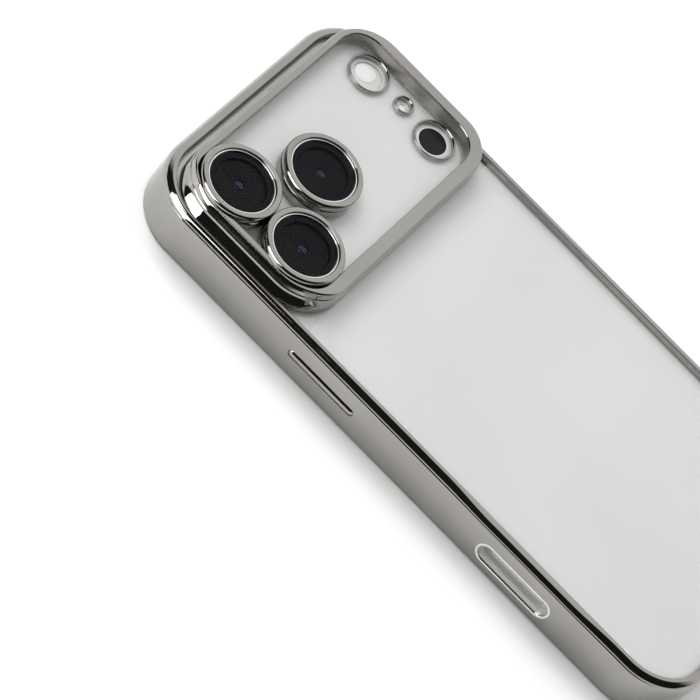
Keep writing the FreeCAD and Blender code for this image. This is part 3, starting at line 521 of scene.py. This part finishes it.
def bumper_section(swell):
    """Section of the bumper wall as (inset from the outer face, height), from the lip round."""
    out = -SWELL * swell
    edge = 1.0 - 0.22 * swell
    top_start = RIM_TOP - 1.55 * MM * edge
    points = arc(0.55 * MM, 0.75 * MM, 0.5 * MM, 0.75 * MM, 270, 180, 8)
    for share in (0.15, 0.3, 0.5, 0.7, 0.85):
        z = 0.75 * MM + (top_start - 0.75 * MM) * share
        bulge = 0.05 * MM * (1 - (2 * share - 1) ** 2)
        points.append((0.05 * MM - bulge + out * smooth_step(share * 4), z))
    steps = [(0.05, 0.0), (0.1, 0.14), (0.32, 0.45), (0.345, 0.6)]
    for turn in range(28, 67, 4):
        angle = math.radians(turn)
        steps.append((0.36 + 1.75 * (0.883 - math.cos(angle)), 0.62 + 1.75 * (math.sin(angle) - 0.4695)))
    steps += [(1.3, 1.5), (1.45, 1.55)]
    for inset, rise in steps:
        points.append((inset * MM * edge + out + 0.05 * MM * (1 - edge), top_start + rise * MM * edge))
    points += arc(RIM_WIDTH - 0.15 * MM, RIM_TOP - 0.12 * MM, 0.15 * MM, 0.12 * MM, 90, 0, 4)
    points += [
        (RIM_WIDTH, PLATE_BOTTOM),
        (WALL, PLATE_BOTTOM),
        (WALL, PHONE_FRONT),
    ]
    lip = WALL + 0.98 * MM
    points.append((lip, PHONE_FRONT))
    points += arc(lip - 0.4 * MM, 0.4 * MM, 0.4 * MM, 0.4 * MM, 0, -90, 5)
    return points


def bumper_wall():
    samples = outline(
        -HALF_WIDTH, HALF_WIDTH, -HALF_LENGTH, HALF_LENGTH, [CASE_CORNER] * 4, 40, 100
    )
    rows = []
    for x, y, nx, ny in samples:
        swell = swell_at(y, nx < -0.999)
        rows.append([(x - nx * inset, y - ny * inset, z) for inset, z in bumper_section(swell)])
    return loft("case_bumper_shell", rows, 35.0)


FRAME_X = 35.8 * MM
FRAME_LOW = 30.6 * MM
FRAME_HIGH = 72.9 * MM
FRAME_TOP = CASE_HIGH.z
WINDOW_X = high("case_plateau_window").x
WINDOW_LOW = low("case_plateau_window").y
WINDOW_HIGH = high("case_plateau_window").y


# Outer wall of the frame: inset on the steep sides, inset on the power-button side, height.
FRAME_STEPS = (
    (0.0, 0.0, 11.2),
    (0.02, 0.02, 11.9),
    (0.06, 0.14, 12.1),
    (0.12, 0.58, 13.0),
    (0.16, 0.62, 13.05),
    (0.24, 1.04, 14.0),
    (0.3, 1.13, 14.15),
    (0.33, 1.16, 14.5),
    (0.42, 1.24, 14.62),
    (0.5, 1.3, 14.68),
    (0.54, 1.36, 14.8),
    (0.58, 1.6, 15.4),
    (0.64, 1.78, 15.75),
    (0.7, 1.9, 15.95),
    (0.8, 2.02, 16.1),
    (0.9, 2.12, 16.17),
    (1.02, 2.24, 16.2),
)


def plateau_frame():
    """Raised frame round the camera window, in two tiers with sloping walls."""
    outer = outline(
        -FRAME_X, FRAME_X, FRAME_LOW, FRAME_HIGH, [9.5 * MM, 11 * MM, 11.6 * MM, 11.8 * MM], 40, 40
    )
    inner = outline(
        -WINDOW_X, WINDOW_X, WINDOW_LOW, WINDOW_HIGH, [6.5 * MM] * 4, 40, 40
    )
    outer_part = []
    for steep, sloped, z in FRAME_STEPS:
        outer_part.append((steep * MM, sloped * MM, z * MM))
    inner_part = arc(-0.35 * MM, FRAME_TOP - 0.35 * MM, 0.35 * MM, 0.35 * MM, 90, 0, 8)
    inner_part += [(0.0, WINDOW_TOP), (0.0, WINDOW_BOTTOM), (-1.2 * MM, WINDOW_BOTTOM)]
    inner_part += [(-1.2 * MM, 11.2 * MM)]
    rows = []
    for (x, y, nx, ny), (ix, iy, inx, iny) in zip(outer, inner):
        lean = smooth_step((-nx - 0.15) / 0.75)
        row = []
        for steep, sloped, z in outer_part:
            inset = steep + (sloped - steep) * lean
            row.append((x - nx * inset, y - ny * inset, z))
        row += [(ix - inx * inset, iy - iny * inset, z) for inset, z in inner_part]
        rows.append(row)
    return loft("plateau_frame", rows, 35.0)


def side_place(side, outer):
    """Puts (u, v, w) on a side wall: u along Y, v along Z, w inwards from the outer plane."""
    return lambda u, v, w: (side * (outer - w), u, v)


def shifted(place, du, dv):
    return lambda u, v, w: place(u + du, v + dv, w)


def control_bead():
    """Rounded rim round the camera control's opening, standing a little proud of the wall."""
    place = shifted(side_place(-1, HALF_WIDTH + 0.4 * MM), CONTROL_Y, CONTROL_Z)
    outer_long = CUTOUT_LONG + 2.1 * MM
    outer_high = CUTOUT_HIGH + 1.6 * MM
    rows = []
    section = [(0.0, 0.75 * MM)]
    for turn in range(0, 181, 12):
        angle = math.radians(turn)
        section.append((0.5 * MM - 0.5 * MM * math.cos(angle), 0.45 * MM - 0.44 * MM * math.sin(angle)))
    section += [(1.12 * MM, 1.3 * MM), (1.15 * MM, 1.9 * MM), (0.5 * MM, 1.9 * MM)]
    for u, v, nu, nv in slot_ring(outer_long, outer_high, 0.0, 40):
        rows.append([place(u - nu * inset, v - nv * inset, depth) for inset, depth in section])
    return loft("control_bead", rows, 50.0)


def slot_cutter(side, y, z, length, height, flare=0.0):
    place = shifted(side_place(side, HALF_WIDTH + 2 * MM), y, z)
    layers = ((0, 0), (0, 2 * MM), (flare, 3.3 * MM), (flare, 4.6 * MM))
    return slot_solid("cutter", length, height, layers, place, steps=24)


def edge_cutter(x, z, length, height):
    def place(u, v, w):
        return (x + u, -HALF_LENGTH - 1 * MM + w, z + v)

    return slot_solid("cutter", length, height, ((0, 0), (0, 3.2 * MM)), place, steps=20)


def lens_cutter(name):
    body = f"case_collar_{name}"
    radius = (high(body).x - low(body).x) / 2 - 0.1 * MM
    spot = centre(body)
    section = [
        (0, 12.0 * MM),
        (radius - 0.5 * MM, 12.0 * MM),
        (radius - 0.5 * MM, WINDOW_TOP),
        (radius, WINDOW_TOP),
        (radius, 18 * MM),
        (0, 18 * MM),
    ]
    return lathe("cutter", spot, section, 128)


def soften_inner_wall(shell):
    """Gives the faces that look on to the camera window the matt plating."""
    shell.data.materials.append(SATIN)
    for face in shell.data.polygons:
        spot = face.center
        inside = abs(spot.x) < WINDOW_X + 0.02 * MM and WINDOW_LOW < spot.y + 0.02 * MM
        inside = inside and spot.y < WINDOW_HIGH + 0.02 * MM
        if inside and WINDOW_TOP - 0.05 * MM < spot.z < FRAME_TOP - 0.3 * MM:
            face.material_index = 1


def paint_light_in_control_opening(shell):
    """Gives the walls of the camera control's opening the lighter matt plating, painted light against the
    shade of the recess.
    """
    shell.data.materials.append(SATIN_PAINTED_LIGHT)
    for face in shell.data.polygons:
        spot = face.center
        along = abs(spot.y - CONTROL_Y) < CUTOUT_LONG / 2 + 0.4 * MM
        across = abs(spot.z - CONTROL_Z) < CUTOUT_HIGH / 2 + 0.4 * MM
        if along and across and -HALF_WIDTH - 0.1 * MM < spot.x < -HALF_WIDTH + WALL + 0.3 * MM:
            face.material_index = 2


def make_bumper():
    shell = bumper_wall()
    boolean(shell, plateau_frame(), "UNION")
    boolean(shell, slot_cutter(-1, CONTROL_Y, CONTROL_Z, CUTOUT_LONG, CUTOUT_HIGH, 0.35 * MM), "DIFFERENCE")
    for name in PADS:
        pad = f"case_{name}_pad"
        spot = centre(pad)
        length = high(pad).y - low(pad).y - 1.4 * MM
        height = high(pad).z - low(pad).z - 1.4 * MM
        side = -1 if spot.x < 0 else 1
        cutter = slot_cutter(side, spot.y, spot.z, length + PAD_GAP, height + PAD_GAP)
        boolean(shell, cutter, "DIFFERENCE")
    port_z = centre("charging_port_shell").z
    boolean(shell, edge_cutter(0, port_z, 13 * MM, 6 * MM), "DIFFERENCE")
    for side in (-1, 1):
        boolean(shell, edge_cutter(side * 18 * MM, port_z, 15 * MM, 3 * MM), "DIFFERENCE")
    for name in LENSES:
        boolean(shell, lens_cutter(name), "DIFFERENCE")
    tidy_mesh(shell)
    shade(shell, 35.0)
    place_piece(shell, ROOT, "case_plated", ["case_bumper"])
    soften_inner_wall(shell)
    paint_light_in_control_opening(shell)
    place_piece(control_bead(), ROOT, "trim_ring")


def make_collars():
    """Lens rings of the case: a flat crown, a waist and a fuller foot."""
    for name in LENSES:
        cad = f"case_collar_{name}"
        spot = centre(cad)
        top = high(cad).z
        outer = (high(cad).x - low(cad).x) / 2
        bore = 7.74 * MM
        section = [(bore, WINDOW_BOTTOM), (bore, top - 0.3 * MM)]
        section += arc(bore + 0.16 * MM, top - 0.16 * MM, 0.16 * MM, 0.16 * MM, 180, 90, 5)
        section += arc(outer - 0.6 * MM, top - 0.9 * MM, 0.6 * MM, 0.9 * MM, 90, 0, 16)
        section += [(outer, top - 1.5 * MM)]
        section += arc(outer - 0.25 * MM, top - 1.5 * MM, 0.25 * MM, 0.25 * MM, 0, -70, 6)
        section += [(outer - 0.4 * MM, top - 1.9 * MM)]
        section += arc(outer - 0.4 * MM, top - 3.1 * MM, 0.4 * MM, 1.05 * MM, 84, 0, 12)
        section += [(outer, WINDOW_TOP), (8.6 * MM, WINDOW_TOP), (8.6 * MM, WINDOW_BOTTOM)]
        ring = lathe(f"collar_{name}", spot, section, 200, 40.0)
        place_piece(ring, ROOT, "case_plated", [cad])


def make_eyelets():
    """Thin plated rims of the sensor holes, with a soft inner bevel."""
    for name in SENSORS:
        cad = f"case_eyelet_{name}"
        spot = centre(cad)
        outer = (high(cad).x - low(cad).x) / 2
        inner = outer - 0.6 * MM
        top = high(cad).z
        section = [(inner, WINDOW_BOTTOM), (inner, top - 0.5 * MM)]
        section += arc(outer - 0.22 * MM, top - 0.5 * MM, 0.38 * MM, 0.5 * MM, 180, 90, 8)
        section += arc(outer - 0.15 * MM, top - 0.15 * MM, 0.15 * MM, 0.15 * MM, 90, 0, 5)
        section += [(outer, WINDOW_BOTTOM)]
        ring = lathe(f"eyelet_{name}", spot, section, 120, 40.0)
        place_piece(ring, ROOT, "case_plated", [cad])


def make_pads():
    """Pillow-topped bars over the phone's buttons, with the flange behind the wall."""
    for name in PADS:
        cad = f"case_{name}_pad"
        spot = centre(cad)
        side = -1 if spot.x < 0 else 1
        outer = max(abs(low(cad).x), abs(high(cad).x))
        inner = min(abs(low(cad).x), abs(high(cad).x))
        length = high(cad).y - low(cad).y - 1.4 * MM
        height = high(cad).z - low(cad).z - 1.4 * MM
        place = shifted(side_place(side, outer), spot.y, spot.z)
        depth = outer - inner
        flange = depth - 0.45 * MM
        crest = height / 2 - 0.12 * MM
        layers = [(crest, 0.0), (crest - 0.1 * MM, 0.01 * MM), (0.1 * MM, 0.38 * MM)]
        layers += [(0.03 * MM, 0.44 * MM), (0.0, 0.55 * MM), (0.0, flange)]
        layers += [(-0.7 * MM, flange), (-0.7 * MM, depth)]
        bar = slot_solid(f"pad_{name}", length, height, layers, place, steps=24, angle=35.0)
        body = f"{name}_pad_body"
        place_piece(bar, body, "case_plated", [cad])


# ---------------------------------------------------------------- cameras and sensors

GLASS_DROP = 0.3 * MM
GLASS_THICK = 0.45 * MM


def make_lens_trims():
    """Polished ring that holds each cover glass, with a rounded lip."""
    for name in LENSES:
        cad = f"lens_trim_{name}"
        spot = centre(cad)
        top = high(cad).z - GLASS_DROP
        bottom = low(cad).z
        outer = (high(cad).x - low(cad).x) / 2 - 0.34 * MM
        glass = (high(f"lens_glass_{name}").x - low(f"lens_glass_{name}").x) / 2
        seat = high(f"lens_glass_{name}").z - GLASS_DROP - GLASS_THICK
        section = [(6.3 * MM, bottom), (7.5 * MM, bottom), (7.5 * MM, bottom + 1.0 * MM)]
        section += [(outer, bottom + 1.0 * MM), (outer, top - 0.3 * MM)]
        section += arc(outer - 0.12 * MM, top - 0.15 * MM, 0.12 * MM, 0.15 * MM, 0, 90, 8)
        section += arc(glass + 0.14 * MM, top - 0.1 * MM, 0.1 * MM, 0.1 * MM, 90, 180, 6)
        section += [(glass + 0.04 * MM, seat), (6.3 * MM, seat)]
        ring = lathe(f"trim_{name}", spot, section, 200, 40.0)
        place_piece(ring, ROOT, "trim_ring", [cad])
        shadow = [(glass, seat + 0.02 * MM), (glass, seat + 0.06 * MM)]
        shadow += [(5.98 * MM, seat + 0.06 * MM), (5.98 * MM, seat + 0.02 * MM)]
        mask = lathe(f"glass_mask_{name}", spot, shadow, 160)
        place_piece(mask, ROOT, "barrel_black")


def make_lens_glasses():
    """Cover glasses with a small bevel at the edge."""
    for name in LENSES:
        cad = f"lens_glass_{name}"
        spot = centre(cad)
        top = high(cad).z - GLASS_DROP
        bottom = top - GLASS_THICK
        radius = (high(cad).x - low(cad).x) / 2
        section = [(0, bottom + 0.08 * MM), (radius, bottom + 0.08 * MM), (radius, top - 0.08 * MM)]
        section += [(radius - 0.08 * MM, top), (0, top)]
        disc = lathe(f"cover_{name}", spot, section, 160)
        place_piece(disc, ROOT, "lens_glass", [cad])


def make_barrels():
    """Focusing barrel with stepped black baffles, and the small coated element in the middle."""
    for name in LENSES:
        cad = f"focus_barrel_{name}"
        spot = centre(cad)
        top = high(cad).z
        bottom = low(cad).z
        radius = (high(cad).x - low(cad).x) / 2
        section = [(3.4 * MM, bottom), (radius, bottom), (radius, top - 0.15 * MM)]
        section += [(radius - 0.15 * MM, top), (5.2 * MM, top), (2.25 * MM, top - 0.3 * MM)]
        section += [(2.15 * MM, top - 0.26 * MM), (2.05 * MM, top - 0.32 * MM)]
        section += [(1.7 * MM, top - 0.38 * MM), (1.6 * MM, top - 0.34 * MM)]
        section += [(1.18 * MM, top - 0.42 * MM), (1.18 * MM, top - 0.9 * MM), (3.4 * MM, top - 0.9 * MM)]
        body = f"focus_{name}_body"
        barrel = lathe(f"barrel_{name}", spot, section, 128, 20.0)
        place_piece(barrel, body, "barrel_black", [cad])
        dome_top = top - 0.25 * MM
        dome = [(0, top - 0.85 * MM), (1.12 * MM, top - 0.85 * MM)]
        dome += arc(0, top - 0.65 * MM, 1.12 * MM, dome_top - top + 0.65 * MM, 0, 90, 14)[:-1]
        dome += [(0, dome_top)]
        element = lathe(f"element_{name}", spot, dome, 96, 40.0)
        place_piece(element, body, "lens_glass", [f"focus_element_{name}"], COATED)


def make_flash():
    """Flash cover: a flat pale disc with the bright dome of the lamp off its middle."""
    cad = "flash_lens"
    spot = centre(cad)
    radius = (high(cad).x - low(cad).x) / 2
    bottom = low(cad).z
    level = high(cad).z - 0.4 * MM
    section = [(0, bottom), (radius, bottom), (radius, level - 0.1 * MM)]
    section += [(radius - 0.1 * MM, level), (0, level)]
    place_piece(lathe("flash_disc", spot, section, 96, 40.0), ROOT, "flash_cover", [cad], FLASH_BED)
    dome = [(0, level + 0.002 * MM), (2.55 * MM, level + 0.002 * MM)]
    dome += arc(0, level + 0.01 * MM, 2.5 * MM, 0.38 * MM, 0, 90, 14)[:-1]
    dome += [(0, high(cad).z - 0.01 * MM)]
    lamp = (spot.x + 0.3 * MM, spot.y + 0.6 * MM)
    place_piece(lathe("flash_dome", lamp, dome, 96, 60.0), ROOT, "flash_cover")


def make_lidar():
    """Dark scanner window with a bright ring round it."""
    cad = "lidar_window"
    spot = centre(cad)
    radius = (high(cad).x - low(cad).x) / 2
    bottom, top = low(cad).z, high(cad).z
    rim = radius - 0.24 * MM
    level = top - 0.02 * MM
    disc = [(0, bottom), (rim, bottom), (rim, level), (0, level)]
    place_piece(lathe("lidar_disc", spot, disc, 96), ROOT, "sensor_black", [cad])
    ring = [(radius - 0.22 * MM, bottom), (radius, bottom), (radius, top - 0.1 * MM)]
    ring += arc(radius - 0.1 * MM, top - 0.1 * MM, 0.1 * MM, 0.1 * MM, 0, 90, 4)
    ring += [(radius - 0.22 * MM, top)]
    place_piece(lathe("lidar_ring", spot, ring, 96, 40.0), ROOT, "white_inlay")


def make_microphone():
    """Pale woven screen over the rear microphone."""
    cad = "rear_microphone_mesh"
    spot = centre(cad)
    radius = (high(cad).x - low(cad).x) / 2
    bottom, top = low(cad).z, high(cad).z
    section = [(0, bottom), (radius, bottom), (radius, top - 0.05 * MM), (radius - 0.1 * MM, top), (0, top)]
    place_piece(lathe("rear_screen", spot, section, 64), ROOT, "mesh_dark", [cad], PALE_MESH)


def make_front_details():
    """Pill-shaped sensor window, its camera and the earpiece slit on the screen side."""
    glass = low("display_cover_glass")
    face = glass.z - 0.01 * MM

    def pill_at(y):
        return lambda u, v, w: (u, y + v, face + w)

    top = high("display_cover_glass").y
    pill_y = top - 6.6 * MM
    layers = ((0.02 * MM, 0), (0, 0.03 * MM))
    pill = slot_solid("front_pill", 20.4 * MM, 5.7 * MM, layers, pill_at(pill_y))
    place_piece(pill, ROOT, "sensor_black")
    slit = slot_solid("earpiece_slit", 9 * MM, 0.5 * MM, layers, pill_at(top - 0.6 * MM))
    place_piece(slit, ROOT, "mesh_dark")
    spot = (centre("front_camera_module").x * 0.7, pill_y)
    ring = [(0, face - 0.012 * MM), (1.5 * MM, face - 0.012 * MM), (1.5 * MM, face), (0, face)]
    place_piece(lathe("front_lens", spot, ring, 64), ROOT, "cover_glass", (), COATED)


def make_floor():
    bpy.ops.mesh.primitive_plane_add(size=6.0, location=(0, 0, -0.02 * MM))
    floor = bpy.context.object
    floor.name = "floor"
    material, tree, shader = new_material("floor_paper")
    finish_surface(tree, shader, ((0.93, 0.93, 0.93), (0.94, 0.94, 0.94)), (0.75, 0.85), 400.0, 3.0, 2e-5)
    floor.data.materials.append(material)


# ---------------------------------------------------------------- light and camera

def aim(light, location, target):
    light.location = location
    light.rotation_euler = (Vector(target) - Vector(location)).to_track_quat("-Z", "Y").to_euler()
    bpy.context.scene.collection.objects.link(light)
    return light


def area_light(name, location, target, size, power, glossy=True, diffuse=True):
    data = bpy.data.lights.new(name, "AREA")
    data.shape = "RECTANGLE"
    data.size, data.size_y = size
    data.energy = power
    light = bpy.data.objects.new(name, data)
    light.visible_glossy = glossy
    light.visible_diffuse = diffuse
    return aim(light, location, target)


def make_world():
    """Grey studio all round, dark above the power-button side, as under a black flag."""
    world = bpy.data.worlds.new("studio")
    bpy.context.scene.world = world
    world.use_nodes = True
    tree = world.node_tree
    background = tree.nodes["Background"]
    coords = node(tree, "ShaderNodeTexCoord")
    separate = node(tree, "ShaderNodeSeparateXYZ")
    tree.links.new(coords.outputs["Generated"], separate.inputs["Vector"])
    ramp = node(tree, "ShaderNodeValToRGB")
    ramp.color_ramp.elements[0].color = (0.02, 0.02, 0.019, 1)
    ramp.color_ramp.elements[0].position = 0.58
    ramp.color_ramp.elements[1].color = (1.0, 1.0, 1.0, 1)
    ramp.color_ramp.elements[1].position = 0.72
    span = node(tree, "ShaderNodeMapRange")
    span.inputs["From Min"].default_value = -1
    span.inputs["From Max"].default_value = 1
    tree.links.new(separate.outputs["X"], span.inputs["Value"])
    tree.links.new(span.outputs["Result"], ramp.inputs["Fac"])
    tree.links.new(ramp.outputs["Color"], background.inputs["Color"])
    background.inputs["Strength"].default_value = 1.0


def make_lights():
    """A soft key over the top end, a weak fill, and a bright card beside the wide lens's corner."""
    area_light("key", (0.16, 0.70, 0.85), (0, 0.03, 0), (0.7, 0.7), 9.5, glossy=False)
    area_light("fill", (-0.2, -0.2, 1.0), (0, 0.03, 0), (1.8, 1.8), 8.0, glossy=False)
    area_light("card", (-0.39, 0.33, 0.30), (0, 0.06, 0.01), (0.42, 0.62), 3.4, diffuse=False)


def make_camera():
    data = bpy.data.cameras.new("camera")
    data.sensor_width = 36.0
    data.lens = 235.8
    data.clip_start = 0.01
    camera = bpy.data.objects.new("camera", data)
    right = Vector((0.5435, -0.7029, 0.4589)).normalized()
    back = Vector((-0.6662, -0.0286, 0.7453)).normalized()
    up = back.cross(right).normalized()
    right = up.cross(back).normalized()
    matrix = camera.matrix_world.to_3x3()
    matrix.col[0], matrix.col[1], matrix.col[2] = right, up, back
    camera.matrix_world = matrix.to_4x4()
    camera.location = (-0.65125, -0.00488, 0.70571)
    bpy.context.scene.collection.objects.link(camera)
    bpy.context.scene.camera = camera


bpy.context.scene.view_settings.view_transform = "Standard"
dress_frame()
make_bumper()
make_collars()
make_eyelets()
make_pads()
make_lens_trims()
make_lens_glasses()
make_barrels()
make_flash()
make_lidar()
make_microphone()
make_front_details()
make_floor()
make_world()
make_lights()
make_camera()
